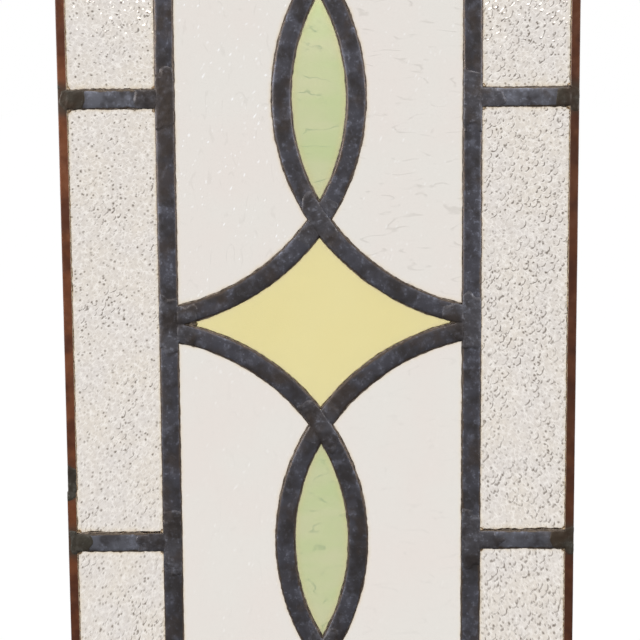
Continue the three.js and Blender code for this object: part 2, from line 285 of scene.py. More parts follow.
def rgb(red, green, blue):
    """A colour as it reads on screen, 0 to 255, as the light values that a shader takes."""
    return tuple(((c / 255 + 0.055) / 1.055) ** 2.4 for c in (red, green, blue)) + (1,)


def shader_group(name, inputs, outputs):
    """An empty node group with named sockets. Returns its graph, its inputs and its output node."""
    tree = bpy.data.node_groups.new(name, "ShaderNodeTree")
    for socket, kind in inputs.items():
        tree.interface.new_socket(socket, in_out="INPUT", socket_type="NodeSocket" + kind)
    for socket, kind in outputs.items():
        tree.interface.new_socket(socket, in_out="OUTPUT", socket_type="NodeSocket" + kind)
    taken = tree.nodes.new("NodeGroupInput").outputs
    given = tree.nodes.new("NodeGroupOutput").inputs
    return Graph(tree), taken, given


def new_material(name, **values):
    """A material with plain values on its shader. Returns it, its graph and its shader's inputs."""
    material = bpy.data.materials.new(name)
    material.use_nodes = True
    shader = material.node_tree.nodes["Principled BSDF"]
    for socket, value in values.items():
        shader.inputs[socket.replace("_", " ")].default_value = value
    return material, Graph(material.node_tree), shader.inputs


def place_group(graph, group, **values):
    """Put a node group in a material with its own values. Returns its outputs by name."""
    made = graph.tree.nodes.new("ShaderNodeGroup")
    made.node_tree = group.tree
    for socket, value in values.items():
        made.inputs[socket.replace("_", " ")].default_value = value
    return made.outputs


def feed(graph, socket, value):
    graph.tree.links.new(value, socket)


def bumped(graph, height, distance):
    """A normal from a height that is one at the top, so many millimetres above the bottom."""
    return graph.node("ShaderNodeBump", {"Height": height, "Distance": distance * MM}, out="Normal")


print("pattern calls:", len([name for name in dir(Graph) if name[0] != "_"]))

# %% [markdown]
# ## Floor
# The panel stands on a plain pale floor. To the eye and through the glass it glows as white as the sky, so the two
# run together behind the panel. As a source of light it is dimmer, so that the undersides of the lead stay dark.

# %% Lay the floor
FLOOR_AS_LIGHT = 0.2
FLOOR_SIZE = 60  # metres, so that its edge runs out of sight
floor_paint, floor_graph, floor_shader = new_material(
    "pale_floor", Base_Color=(0.01, 0.01, 0.01, 1), Roughness=0.9, Specular_IOR_Level=0.0,
    Emission_Color=(1, 1, 1, 1),
)
seen = floor_graph.node("ShaderNodeLightPath", out="Is Camera Ray")
seen = floor_graph.math("MAXIMUM", seen, seen.node.outputs["Is Transmission Ray"])
feed(floor_graph, floor_shader["Emission Strength"], floor_graph.ramp(seen, 0, 1, FLOOR_AS_LIGHT, 1.0))
bpy.ops.mesh.primitive_plane_add(size=FLOOR_SIZE)
floor = bpy.context.object
floor.name = "floor"
floor.data.materials.append(floor_paint)
print("floor:", floor.name)

# %% [markdown]
# ## Patina
# Old lead isn't one grey. It is clouded, with pale bloom on the rubbed face and dark grime on the shoulders, and
# solder and the brown edge metal age in the same way with other colours. So patina is one group of nodes: clouds
# between a dark and a body colour, specks of bloom, broad smears of grime, and more grime where the surface turns
# away from the face.

# %% Build the patina group
patina, asked, given = shader_group(
    "patina",
    {
        "Dark": "Color", "Body": "Color", "Bloom": "Color", "Grime": "Color", "Bloom Amount": "Float",
        "Grime Depth": "Float",
    },
    {"Colour": "Color", "Roughness": "Float", "Height": "Float"},
)
place = patina.node("ShaderNodeTexCoord", out="Object")
clouds = patina.noise(patina.wobbled(place, 14, 4), 16, 3, 0.6)
mottle = patina.noise(place, 4.5, 4, 0.65)
specks = patina.noise(place, 1.7, 1, 0.5)
speck_mask = patina.math("MULTIPLY", patina.ramp(specks, 0.56, 0.68), patina.ramp(mottle, 0.42, 0.58))
bloom_mask = patina.math(
    "MULTIPLY",
    patina.math("MAXIMUM", speck_mask, patina.ramp(mottle, 0.5, 0.68, 0, 0.5)),
    patina.ramp(clouds, 0.4, 0.56, 0.25, 1),
)
facing = patina.node("ShaderNodeNewGeometry", out="Normal")
turned = patina.node("ShaderNodeSeparateXYZ", {0: facing}, out="Y")
depth = patina.math("ABSOLUTE", patina.node("ShaderNodeSeparateXYZ", {0: place}, out="Y"))
above = patina.math("SUBTRACT", depth, asked["Grime Depth"])
above = patina.math("ADD", above, patina.math("MULTIPLY", patina.math("SUBTRACT", mottle, 0.5), 1.2 * MM))
face_mask = patina.math(
    "MULTIPLY",
    patina.ramp(patina.math("ABSOLUTE", turned), 0.25, 0.8),
    patina.ramp(above, -0.15 * MM, 0.15 * MM),
)
clouded = patina.blend(patina.ramp(clouds, 0.36, 0.6), asked["Dark"], asked["Body"])
bloomed = patina.blend(
    patina.math("MULTIPLY", bloom_mask, asked["Bloom Amount"]), clouded, asked["Bloom"]
)
smears = patina.ramp(patina.noise(patina.wobbled(place, 9, 4), 24, 3, 0.6), 0.5, 0.64, 0, 0.5)
smeared = patina.blend(smears, bloomed, asked["Grime"])
feed(patina, given["Colour"], patina.blend(face_mask, asked["Grime"], smeared))
feed(patina, given["Roughness"], patina.ramp(mottle, 0.3, 0.7, 0.36, 0.56))
feed(patina, given["Height"], patina.math("ADD", mottle, patina.math("MULTIPLY", specks, 0.4)))
print("patina nodes:", len(patina.tree.nodes))

# %% [markdown]
# ## Metals
# Lead is slate grey with blue bloom. Solder over the joints is browner and duller. The edge channel has gone the
# reddish brown of old copper, and where solder runs over it the brown turns olive.

# %% Lead, solder and edge metal
def metal(name, metallic, relief, **colours):
    material, graph, shader = new_material(name, Metallic=metallic)
    skin = place_group(graph, patina, **colours)
    feed(graph, shader["Base Color"], skin["Colour"])
    feed(graph, shader["Roughness"], skin["Roughness"])
    feed(graph, shader["Normal"], bumped(graph, skin["Height"], relief))
    return material


lead = metal(
    "aged_lead", 0.5, 0.12,
    Dark=rgb(69, 65, 66), Body=rgb(88, 87, 95), Bloom=rgb(126, 128, 142), Grime=rgb(82, 70, 62),
    Bloom_Amount=0.85, Grime_Depth=2.65 * MM,
)
bar_lead = metal(
    "rubbed_lead", 0.5, 0.12,
    Dark=rgb(74, 71, 74), Body=rgb(114, 115, 124), Bloom=rgb(146, 149, 164), Grime=rgb(84, 72, 60),
    Bloom_Amount=0.8, Grime_Depth=2.7 * MM,
)
solder = metal(
    "dull_solder", 0.4, 0.2,
    Dark=rgb(64, 58, 57), Body=rgb(88, 86, 91), Bloom=rgb(128, 129, 140), Grime=rgb(80, 68, 59),
    Bloom_Amount=0.85, Grime_Depth=2.3 * MM,
)
edge_brown = metal(
    "brown_edge_metal", 0.2, 0.06,
    Dark=rgb(88, 46, 26), Body=rgb(120, 69, 40), Bloom=rgb(132, 86, 58), Grime=rgb(88, 48, 28),
    Bloom_Amount=0.4, Grime_Depth=2.5 * MM,
)
edge_solder = metal(
    "olive_solder", 0.3, 0.15,
    Dark=rgb(60, 50, 40), Body=rgb(72, 67, 58), Bloom=rgb(100, 97, 90), Grime=rgb(74, 54, 38),
    Bloom_Amount=0.8, Grime_Depth=2.3 * MM,
)


def stain_and_shade(material, overlay, zone):
    """Blend a colour over a metal, in the zone that is masked by a call of the place's x and z. The colour is a real
    stain in some zones and painted shade in others.
    """
    graph = Graph(material.node_tree)
    base = material.node_tree.nodes["Principled BSDF"].inputs["Base Color"]
    place = graph.node("ShaderNodeTexCoord", out="Object")
    x, _, z = graph.node("ShaderNodeSeparateXYZ", {0: graph.wobbled(place, 8, 2.5)}).node.outputs
    feed(graph, base, graph.blend(zone(graph, x, graph.math("SUBTRACT", z, MIDDLE)), base.links[0].from_socket, overlay))


def shade_to_the_right(graph, x, height):
    """More and more to the right, where the edge is darker: painted shade, for the weaker light on the right."""
    return graph.ramp(x, -FIELD, FIELD, 0, 0.45)


def at_bar_ends(graph, x, height):
    """The last few millimetres of the bars, next to the edge channel."""
    return graph.ramp(graph.math("ABSOLUTE", x), 125 * MM, 132 * MM, 0, 0.8)


def by_solder(graph, x, height):
    """Near the bars' ends, and near the splice in the left side."""
    from_bar = graph.math("ABSOLUTE", graph.math("SUBTRACT", graph.math("ABSOLUTE", height), BAR_HEIGHT))
    from_splice = graph.math("ABSOLUTE", graph.math("ADD", height, SPLICE_DROP - SPLICE_SOLDER))
    from_splice = graph.math("ADD", from_splice, graph.ramp(x, -MM, MM, 0, 1))
    return graph.ramp(graph.math("MINIMUM", from_bar, from_splice), 5 * MM, 12 * MM, 0.85, 0)


# Painted shade: the brown edge darkens more and more towards the right.
stain_and_shade(edge_brown, rgb(60, 34, 22), shade_to_the_right)
stain_and_shade(edge_brown, rgb(70, 58, 46), by_solder)
stain_and_shade(bar_lead, rgb(66, 60, 56), at_bar_ends)
print("metals:", lead.name, bar_lead.name, solder.name, edge_brown.name, edge_solder.name)

# %% [markdown]
# ## Lead came
# Came is sold as long strips of H section. The section starts as a flat plane that is sliced into columns, so that
# the slots for the glass can be deleted from its sides and the face can be rounded down to its edges.

# %% Draw the section of the came
HEART = 0.8 * MM  # half its thickness
CROWN = [(2.0, 3.16), (3.0, 3.08), (3.8, 2.94), (4.4, 2.74), (4.85, 2.45), (5.1, 2.12)]  # mm across, mm high
ON_TOP = 2.5 * MM  # the points of a blank section above this are on the outside of its leaves
TOUCH = 0.01 * MM


def section_blank(left, right, top, columns, underside):
    """A flat section seen from its end, sliced into columns and at the underside of its leaves."""
    bpy.ops.object.select_all(action="DESELECT")
    bpy.ops.mesh.primitive_plane_add(size=1)
    ob = bpy.context.object
    bpy.ops.object.mode_set(mode="EDIT")
    bpy.ops.transform.resize(value=(right - left, 2 * top, 1))
    bpy.ops.transform.translate(value=((left + right) / 2, 0, 0))
    for across in columns:
        bpy.ops.mesh.select_all(action="SELECT")
        bpy.ops.mesh.bisect(plane_co=(across, 0, 0), plane_no=(1, 0, 0))
    for side in (-1, 1):
        bpy.ops.mesh.select_all(action="SELECT")
        bpy.ops.mesh.bisect(plane_co=(0, side * underside, 0), plane_no=(0, 1, 0))
    return ob


def clear_slot(low, high, underside):
    """Delete the middle of a section outside its heart, where the glass goes."""

    def in_slot(face):
        middle = face.calc_center_median()
        return abs(middle.y) < underside and not low < middle.x < high

    pick(in_slot, "FACE")
    bpy.ops.mesh.delete(type="FACE")


def came_section():
    right_half = [HEART] + [across * MM for across, _ in CROWN[:-1]]
    columns = [side * column for column in right_half for side in (-1, 1)]
    ob = section_blank(-CAME_FACE / 2, CAME_FACE / 2, CAME_TOP, columns, LEAF_UNDERSIDE)
    clear_slot(-HEART, HEART, LEAF_UNDERSIDE)
    for across, high in CROWN:
        pick(lambda v: abs(abs(v.co.x) - across * MM) < TOUCH and abs(v.co.y) > ON_TOP)
        bpy.ops.transform.resize(value=(1, high * MM / CAME_TOP, 1), center_override=(0, 0, 0))
    bpy.ops.object.mode_set(mode="OBJECT")
    return ob


print("points on each side of the crown:", len(CROWN))


# %% [markdown]
# ## Running the came
# A straight came is its section extruded, and its long edges are then divided so that it can be made a little
# uneven. A curved came is its section spun about the centre of each arc, the second arc starting where the first
# ends. A heading is the pair of steps to the right and upwards.

# %% Run a section straight, or round an arc
def start_run(section, place, heading):
    """Stand a section at a place, square to its heading."""
    section.rotation_euler = (0, atan2(heading[0], heading[1]), 0)
    section.location = place
    only(section)
    bpy.ops.object.transform_apply(location=True, rotation=True, scale=True)


def run_straight(ob, start, end, cuts):
    along = end - start
    start_run(ob, start, (along.x, along.z))
    edit(ob)
    bpy.ops.mesh.extrude_region_move(TRANSFORM_OT_translate={"value": along})
    length = along.length
    for count in cuts:
        pick(lambda e: e.calc_length() > 0.999 * length, "EDGE")
        bpy.ops.mesh.subdivide(number_cuts=count)
        length /= count + 1
    outwards(ob)
    return ob


ARC_STEP = 1.1 * MM


def run_arc(start, heading, end):
    """Spin the chosen end of a run until it reaches a point. Returns the heading there."""
    chord = end - start
    right = Vector((heading[1], 0, -heading[0]))
    radius = chord.length_squared / (2 * chord.dot(right))
    turn = 2 * asin(chord.length / (2 * radius))
    steps = round(abs(radius * turn) / ARC_STEP)
    bpy.ops.mesh.spin(steps=steps, angle=turn, center=start + right * radius, axis=(0, -1, 0))
    bearing = atan2(heading[0], heading[1]) + turn
    return sin(bearing), cos(bearing)


def curved_run(ob, start, heading, *ends):
    """A strip that leaves a point along a heading and passes through points in turn."""
    start_run(ob, start, heading)
    edit(ob)
    for end in ends:
        heading = run_arc(start, heading, end)
        start = end
    outwards(ob)
    return ob


print("steps round an arc:", round(ARC_STEP / MM, 1), "mm")


# %% [markdown]
# ## Routes
# Every strip in the panel follows a route and is sliced where it meets its neighbours, square to them. A route is
# written once and used twice: for the came, and later for the cement that is pressed in under the came's leaves.

# %% Where strips are sliced
def lean(side, rise):
    """The heading of a curved came at a crossing."""
    return side * sin(CROSSING), rise * cos(CROSSING)


def slice_at_crossing(ob, height, through, away):
    """Slice a strip beside the came that passes through a crossing, and drop the side away from it."""
    across = Vector((through[1], 0, -through[0]))
    if across.dot(Vector((away[0], 0, away[1]))) < 0:
        across.negate()
    slice_off(ob, at(0, height) - across * (CAME_FACE / 2 + GAP), across)


def slice_at_frame(ob, side, level, spread):
    """Slice a curved strip at the long came, and at the diamond's middle line or the edge channel."""
    slice_off(ob, at(side * (FIELD - CAME_FACE / 2 - GAP), 0), (side, 0, 0))
    if spread == "inner":
        slice_off(ob, at(0, level * GAP / 2), (0, 0, -level))
    else:
        slice_off(ob, at(0, level * (SIGHT - GAP)), (0, 0, level))


print("a strip stops", round((CAME_FACE / 2 + GAP) / MM, 1), "mm from the line of the came that it meets")


# %% Routes of the curved cames
def spread_of(level, spread):
    """Which crossing an arm starts from, its rise there, and the height that it reaches."""
    if spread == "inner":
        return DIAMOND, OUTER, -level, level * ARM_RISE
    return OUTER, DIAMOND, level, level * (SIGHT - ARM_RISE)


def ogee(section, side, level, spread):
    """From one crossing of an almond round its outside, through the other crossing, to a long came."""
    near, far, rise, reach = spread_of(level, spread)
    ends = (at(0, level * near), at(-side * FIELD, reach))
    ob = curved_run(section, at(0, level * far), lean(side, rise), *ends)
    slice_at_frame(ob, -side, level, spread)
    slice_at_crossing(ob, level * far, lean(side, -rise), lean(-side, -rise))
    return ob


def arm(section, side, level, spread):
    """One arc, from a crossing outwards to a long came."""
    near, _, rise, reach = spread_of(level, spread)
    ob = curved_run(section, at(0, level * near), lean(side, rise), at(side * FIELD, reach))
    slice_at_frame(ob, side, level, spread)
    slice_at_crossing(ob, level * near, lean(-side, rise), lean(-side, -rise))
    return ob


print("crossings:", [round(side * height / MM, 1) for side in (-1, 1) for height in (DIAMOND, OUTER)], "mm up")


# %% Routes of the straight cames
def long_came(section, side):
    end = SIGHT - GAP
    return run_straight(section, at(side * FIELD, -end), at(side * FIELD, end), (20, 18))


def border_bar(section, side, level):
    step = SPLICE_STEP if (side, level) == (-1, -1) else 0
    inner = side * (FIELD + CAME_FACE / 2 + GAP)
    outer = side * (HALF_WIDTH + step - EDGE_FACE - GAP)
    height = level * BAR_HEIGHT
    return run_straight(section, at(inner, height), at(outer, height), (40,))


routes = {
    "long_came_left": (long_came, -1),
    "long_came_right": (long_came, 1),
    "border_bar_upper_left": (border_bar, -1, 1),
    "border_bar_upper_right": (border_bar, 1, 1),
    "border_bar_lower_left": (border_bar, -1, -1),
    "border_bar_lower_right": (border_bar, 1, -1),
    "ogee_came_upper": (ogee, -1, 1, "inner"),
    "ogee_came_top": (ogee, 1, 1, "outer"),
    "ogee_came_lower": (ogee, 1, -1, "inner"),
    "ogee_came_bottom": (ogee, -1, -1, "outer"),
    "arm_came_upper_left": (arm, -1, 1, "inner"),
    "arm_came_lower_right": (arm, 1, -1, "inner"),
    "arm_came_top_right": (arm, 1, 1, "outer"),
    "arm_came_bottom_left": (arm, -1, -1, "outer"),
}
print("routes:", len(routes))


# %% Lay the cames
def lay(name, section):
    route, *values = routes[name]
    return route(section, *values)


cames = {name: lay(name, came_section()) for name in routes}
print("cames:", len(cames), "with", sum(len(ob.data.polygons) for ob in cames.values()), "faces")

# %% [markdown]
# ## Edge channel
# The panel is bound by a thin U channel that opens inwards. It is five lengths: mitred at the corners, and with a
# butt splice in the left side, where the lower length stands out by half a millimetre. The lengths run clockwise,
# so the inside of each is on the right of its heading.

# %% Run the edge channel
EDGE_TOP = 2.8 * MM
EDGE_WEB = 1.0 * MM
EDGE_CROWN = [(0.0, 2.42), (0.1, 2.64), (0.35, 2.78), (4.45, 2.77), (4.7, 2.55)]  # mm inwards, mm high


def edge_section():
    columns = [across * MM for across in (0.1, 0.35, 1.0, 2.2, 3.4, 4.45)]
    ob = section_blank(0, EDGE_FACE, EDGE_TOP, columns, LEAF_UNDERSIDE)
    clear_slot(0, EDGE_WEB, LEAF_UNDERSIDE)
    for across, high in EDGE_CROWN:
        pick(lambda v: abs(v.co.x - across * MM) < TOUCH and abs(v.co.y) > ON_TOP)
        bpy.ops.transform.resize(value=(1, high * MM / EDGE_TOP, 1), center_override=(0, 0, 0))
    bpy.ops.object.mode_set(mode="OBJECT")
    return ob


stepped = HALF_WIDTH + SPLICE_STEP
corners = {
    "bottom_left": at(-stepped, -MIDDLE),
    "splice_low": at(-stepped, -SPLICE_DROP),
    "splice_high": at(-HALF_WIDTH, -SPLICE_DROP),
    "top_left": at(-HALF_WIDTH, MIDDLE),
    "top_right": at(HALF_WIDTH, MIDDLE),
    "bottom_right": at(HALF_WIDTH, -MIDDLE),
}
lengths = {
    "edge_channel_left_lower": ("bottom_left", "splice_low"),
    "edge_channel_left_upper": ("splice_high", "top_left"),
    "edge_channel_top": ("top_left", "top_right"),
    "edge_channel_right": ("top_right", "bottom_right"),
    "edge_channel_bottom": ("bottom_right", "bottom_left"),
}


def lay_channel(name, section):
    start, end = lengths[name]
    along = (corners[end] - corners[start]).normalized()
    inward = Vector((along.z, 0, -along.x))
    ob = run_straight(section, corners[start], corners[end], (18, 15))
    for corner, outward in ((start, -along), (end, along)):
        mitre = outward if "splice" in corner else (outward + inward).normalized()
        slice_off(ob, corners[corner] - mitre * GAP / 2, mitre)
    return ob


channels = {name: lay_channel(name, edge_section()) for name in lengths}
print("channels:", len(channels))

# %% [markdown]
# ## Solder
# At each joint a plumber runs a low, lumpy cap of solder over the ends of the cames, on both faces. To model one,
# the strips that meet there are copied, cropped to the joint and melted together by a remesh. The skin is shrunk
# a little so that it hides inside the lead, and is then raised in the middle, so that it comes out of the metal
# along an uneven line, as real solder does.

# %% Melt the strips of a joint together
from mathutils import noise


def cloud_texture(name, size, colour=False):
    texture = bpy.data.textures.new(name, "CLOUDS")
    texture.noise_scale = size * MM
    texture.noise_depth = 3
    texture.cloud_type = "COLOR" if colour else "GRAYSCALE"
    return texture


dimples = cloud_texture("dimples", 3.2)


def joined_copy(obs):
    bpy.ops.object.select_all(action="DESELECT")
    for ob in obs:
        ob.select_set(True)
    bpy.context.view_layer.objects.active = obs[0]
    bpy.ops.object.duplicate()
    bpy.ops.object.join()
    return bpy.context.object


MELT = 0.2 * MM  # the strips swell by this, so that they run together
HIDE = 0.46 * MM  # and the skin then shrinks by this, to lie inside the lead
COVER = 0.35 * MM  # what brings the skin level with the lead again
SMALL_CAP = 10  # mm; a cap that reaches less far is squarer and more ragged
WAVER = 170  # the cap's outline wavers every 1 / 170 m, about six millimetres
SLOPE = 0.17  # the share of the cap's radius in which it rises


def clamped(value):
    return min(max(value, 0), 1)


def cap_weight(place, middle, reach, ridge):
    """How much of the rise a point of the skin gets: all of it in the middle, and none past the ragged outline."""
    ragged, power = (0.7, 4) if reach[0] < SMALL_CAP else (0.45, 2)
    away = place - middle
    radius = (abs(away.x / reach[0]) ** power + abs(away.z / reach[1]) ** power) ** (1 / power) / MM
    radius *= 1.15 + ragged * noise.noise(place * WAVER)
    weight = clamped((1 - radius) / SLOPE) * clamped((abs(place.y) - LEAF_UNDERSIDE) / (0.5 * MM))
    if ridge:
        off = abs(away.x * ridge[1] - away.z * ridge[0]) / MM  # beside the came that passes through
        weight *= 1 - 0.42 * clamped((off - 4.3) / 0.8)
    return weight


def solder_cap(name, obs, middle, reach, rise, ridge=None, material=solder, slot="lead_came"):
    """A cap of solder over a joint, so far to the side and upwards. ridge is the heading of a came that passes
    through, which stands up in the solder."""
    ob = joined_copy(obs)
    for direction, far in (((1, 0, 0), reach[0]), ((0, 0, 1), reach[1])):
        direction = Vector(direction)
        slice_off(ob, middle + direction * far * MM, direction)
        slice_off(ob, middle - direction * far * MM, -direction)
    modify(ob, "DISPLACE", strength=MELT, mid_level=0)
    modify(ob, "REMESH", mode="VOXEL", voxel_size=0.42 * MM)
    modify(ob, "SMOOTH", factor=0.6, iterations=5)
    group = ob.vertex_groups.new(name="cap")
    for vertex in ob.data.vertices:
        group.add([vertex.index], cap_weight(vertex.co, middle, reach, ridge), "REPLACE")
    modify(ob, "DISPLACE", strength=-HIDE, mid_level=0)
    modify(ob, "DISPLACE", strength=rise * MM + COVER, mid_level=0, vertex_group="cap")
    modify(
        ob, "DISPLACE", strength=0.5 * MM, mid_level=0.5, vertex_group="cap",
        texture=dimples, texture_coords="LOCAL",
    )
    modify(ob, "SMOOTH", factor=0.5, iterations=2)
    ob.vertex_groups.clear()
    only(ob)
    bpy.ops.object.shade_smooth()
    return finish(ob, name, material, slot)


# %% Solder where cames meet
JOINT_RISE = 0.5  # mm
joints = {
    "solder_crossing_upper": (("ogee_came_upper", "ogee_came_top", "arm_came_upper_left"), at(0, DIAMOND)),
    "solder_crossing_lower": (("ogee_came_lower", "ogee_came_bottom", "arm_came_lower_right"), at(0, -DIAMOND)),
    "solder_crossing_top": (("ogee_came_top", "ogee_came_upper", "arm_came_top_right"), at(0, OUTER)),
    "solder_crossing_bottom": (("ogee_came_bottom", "ogee_came_lower", "arm_came_bottom_left"), at(0, -OUTER)),
    "solder_arms_left": (("long_came_left", "arm_came_upper_left", "ogee_came_lower"), at(-FIELD, 0)),
    "solder_arms_right": (("long_came_right", "ogee_came_upper", "arm_came_lower_right"), at(FIELD, 0)),
}
for side, hand in ((-1, "left"), (1, "right")):
    for level, row in ((-1, "lower"), (1, "upper")):
        bar = f"border_bar_{row}_{hand}"
        joints[f"solder_bar_{row}_{hand}"] = ((f"long_came_{hand}", bar), at(side * FIELD, level * BAR_HEIGHT))
made = []
for name, (strips, middle) in joints.items():
    crossing = "crossing" in name
    slant = 1 if "upper" in name or "lower" in name else -1
    ridge = lean(slant, -1) if crossing else None
    reach = (15, 20) if crossing else (20, 19)
    made.append(solder_cap(name, [cames[strip] for strip in strips], middle, reach, JOINT_RISE, ridge))
print("solder caps:", len(made))

# %% Solder where cames meet the edge, and over its corners and splice
EDGE_RISE = 0.18  # mm


def edge_reach(name):
    """How far the solder runs to the side and upwards, in millimetres."""
    if "corner" in name:
        return 9, 9
    if "splice" in name:
        return 9, 11
    if "top" in name or "bottom" in name:
        return 16, 14
    return 8, 9


edge_joints = {
    "solder_edge_top_left": (("edge_channel_top", "long_came_left", "ogee_came_top"), at(-FIELD, SIGHT)),
    "solder_edge_top_right": (("edge_channel_top", "long_came_right", "arm_came_top_right"), at(FIELD, SIGHT)),
    "solder_edge_bottom_left": (
        ("edge_channel_bottom", "long_came_left", "arm_came_bottom_left"), at(-FIELD, -SIGHT)
    ),
    "solder_edge_bottom_right": (
        ("edge_channel_bottom", "long_came_right", "ogee_came_bottom"), at(FIELD, -SIGHT)
    ),
    "solder_splice": (
        ("edge_channel_left_upper", "edge_channel_left_lower"),
        at(-HALF_WIDTH + 1.5 * MM, SPLICE_SOLDER - SPLICE_DROP),
    ),
    "solder_corner_top_left": (("edge_channel_top", "edge_channel_left_upper"), corners["top_left"]),
    "solder_corner_top_right": (("edge_channel_top", "edge_channel_right"), corners["top_right"]),
    "solder_corner_bottom_left": (("edge_channel_bottom", "edge_channel_left_lower"), corners["bottom_left"]),
    "solder_corner_bottom_right": (("edge_channel_bottom", "edge_channel_right"), corners["bottom_right"]),
}
for side, hand in ((-1, "left"), (1, "right")):
    for level, row in ((-1, "lower"), (1, "upper")):
        edge = "edge_channel_right" if side > 0 else f"edge_channel_left_{row}"
        strips = (edge, f"border_bar_{row}_{hand}")
        inset = 2.6 if (side, level) == (-1, 1) else 1.4
        place = at(side * (HALF_WIDTH - EDGE_FACE - inset * MM), level * BAR_HEIGHT)
        edge_joints[f"solder_edge_{row}_{hand}"] = (strips, place)
for name, (strips, middle) in edge_joints.items():
    obs = [cames[strip] if strip in cames else channels[strip] for strip in strips]
    cap = solder_cap(name, obs, middle, edge_reach(name), EDGE_RISE, None, edge_solder, "edge_metal")
    made.append(cap)
print("solder caps:", len(made), "with", sum(len(ob.data.polygons) for ob in made), "faces")

# %% [markdown]
# ## Worn strips
# Lead is soft, and a strip of it never runs quite true. Each strip is swayed a little by a coloured cloud, which
# moves it sideways, and dimpled by a finer grey one, which moves its skin in and out.

# %% Make the strips uneven, and finish them
sway = cloud_texture("sway", 40, colour=True)


def weather(ob, sideways, dents):
    """Sway a strip sideways and dimple it, each by up to so many millimetres in all."""
    modify(
        ob, "DISPLACE", direction="RGB_TO_XYZ", strength=sideways * MM, mid_level=0.5,
        texture=sway, texture_coords="LOCAL",
    )
    modify(ob, "DISPLACE", strength=dents * MM, mid_level=0.5, texture=dimples, texture_coords="LOCAL")
    only(ob)
    bpy.ops.object.shade_smooth_by_angle(angle=radians(35))


for name, ob in cames.items():
    weather(ob, 0.9, 0.1)
    finish(ob, name + "_worn", bar_lead if "bar" in name else lead, "lead_came", name)
for name, ob in channels.items():
    weather(ob, 0.2, 0.05)
    finish(ob, name + "_worn", edge_brown, "edge_metal", name)

# %% [markdown]
# ## Cement
# Cement is pushed in under the leaves to stop rattles and rain, and a crumbly brown line of it shows all along
# the lead. Each bed is a thinner H that is a little wider than the came, laid on the same route, with its edges
# roughened.

# %% Lay the cement
CEMENT_TOP = 2.1 * MM
CEMENT_FLOOR = 1.55 * MM
crumbs = cloud_texture("crumbs", 2.6, colour=True)
clods = cloud_texture("clods", 7, colour=True)


def cement_paint(name, dark, pale):
    material, graph, shader = new_material(name, Roughness=0.9)
    mottle = graph.noise(graph.node("ShaderNodeTexCoord", out="Object"), 2.4, 4, 0.65)
    feed(graph, shader["Base Color"], graph.blend(graph.ramp(mottle, 0.38, 0.62), dark, pale))
    feed(graph, shader["Normal"], bumped(graph, mottle, 0.3))
    return material


cement = cement_paint("brown_cement", rgb(84, 73, 64), rgb(132, 118, 104))
pale_cement = cement_paint("pale_cement", rgb(168, 146, 120), rgb(226, 208, 180))


def cement_section(reach):
    """The section of a bed that reaches so many millimetres from the came's centre line."""
    columns = [side * across * MM for across in (0.8, 3.5, 4.7, 5.0, 5.2) for side in (-1, 1)]
    ob = section_blank(-reach * MM, reach * MM, CEMENT_TOP, columns, CEMENT_FLOOR)
    clear_slot(-HEART, HEART, CEMENT_FLOOR)
    bpy.ops.object.mode_set(mode="OBJECT")
    return ob


def edge_cement_section():
    reach = EDGE_FACE + 0.15 * MM
    columns = [across * MM for across in (1.0, 3.0, 4.0, 4.4)]
    ob = section_blank(0.5 * MM, reach, CEMENT_TOP, columns, CEMENT_FLOOR)
    clear_slot(0, EDGE_WEB, CEMENT_FLOOR)
    bpy.ops.object.mode_set(mode="OBJECT")
    return ob


def roughness_of(name):
    """The cement of the short bars is the roughest."""
    if "bar" in name:
        return 1.6
    if "long" in name or "edge" in name or "tip" in name:
        return 0.6
    return 0.9


def crumble(ob, name, slot):
    for texture, size in ((clods, 0.9), (crumbs, 0.8)):
        modify(
            ob, "DISPLACE", direction="RGB_TO_XYZ", strength=size * roughness_of(name) * MM, mid_level=0.47,
            texture=texture, texture_coords="LOCAL",
        )
    only(ob)
    bpy.ops.object.shade_smooth()
    return finish(ob, name, pale_cement if "edge" in name or "corner" in name else cement, slot)


beds = []
for name in routes:
    reach = 5.3 if "long" in name else 5.5 if "bar" in name else 5.65
    beds.append(crumble(lay(name, cement_section(reach)), name + "_cement", "lead_came"))
beds += [crumble(lay_channel(name, edge_cement_section()), name + "_cement", "edge_metal") for name in lengths]
print("beds of cement:", len(beds))

# %% Fill the sharp tips of the diamond
# Each tip has its side, its name, its way in from the long came's line and half its length, both in millimetres.
for side, hand, back, size in ((-1, "left", 12.4, 3.4), (1, "right", 9.3, 2.6)):
    bpy.ops.mesh.primitive_ico_sphere_add(subdivisions=5, radius=MM)
    tip = bpy.context.object
    tip.scale = (size, 2.2, 1.9)
    tip.location = at(side * (FIELD - back * MM), 0)
    bpy.ops.object.transform_apply(location=True, rotation=True, scale=True)
    beds.append(crumble(tip, f"diamond_tip_cement_{hand}", "lead_came"))

# %% Dab cement in the corners of the border panes
CLEAR = 0.3 * MM  # the metal to the middle of a dab
dabs = []
for side in (-1, 1):
    columns = FIELD + CAME_FACE / 2 + CLEAR, HALF_WIDTH - EDGE_FACE - CLEAR
    rows = [level * (BAR_HEIGHT + edge * (CAME_FACE / 2 + CLEAR)) for level in (-1, 1) for edge in (-1, 1)]
    for across in columns:
        for height in rows:
            bpy.ops.mesh.primitive_ico_sphere_add(subdivisions=4, radius=1.7 * MM)
            dab = bpy.context.object
            dab.scale = (1, 1.1, 1)
            dab.location = at(side * across, height)
            bpy.ops.object.transform_apply(location=True, rotation=True, scale=True)
            dabs.append(dab)
only(dabs[0])
for dab in dabs:
    dab.select_set(True)
bpy.ops.object.join()
beds.append(crumble(dabs[0], "corner_cement", "lead_came"))

# %% [markdown]
# ## Panes
# A pane starts as a fine grid as big as its box. Its border is pulled back and filled with one flat face, because
# only the front is figured. A pane with curved sides is then cut to its outline by the solid it replaces.

# %% Cut the blanks
GLASS_HALF = 1.6 * MM
SPARE = 2 * MM  # what a shaped pane is cut from


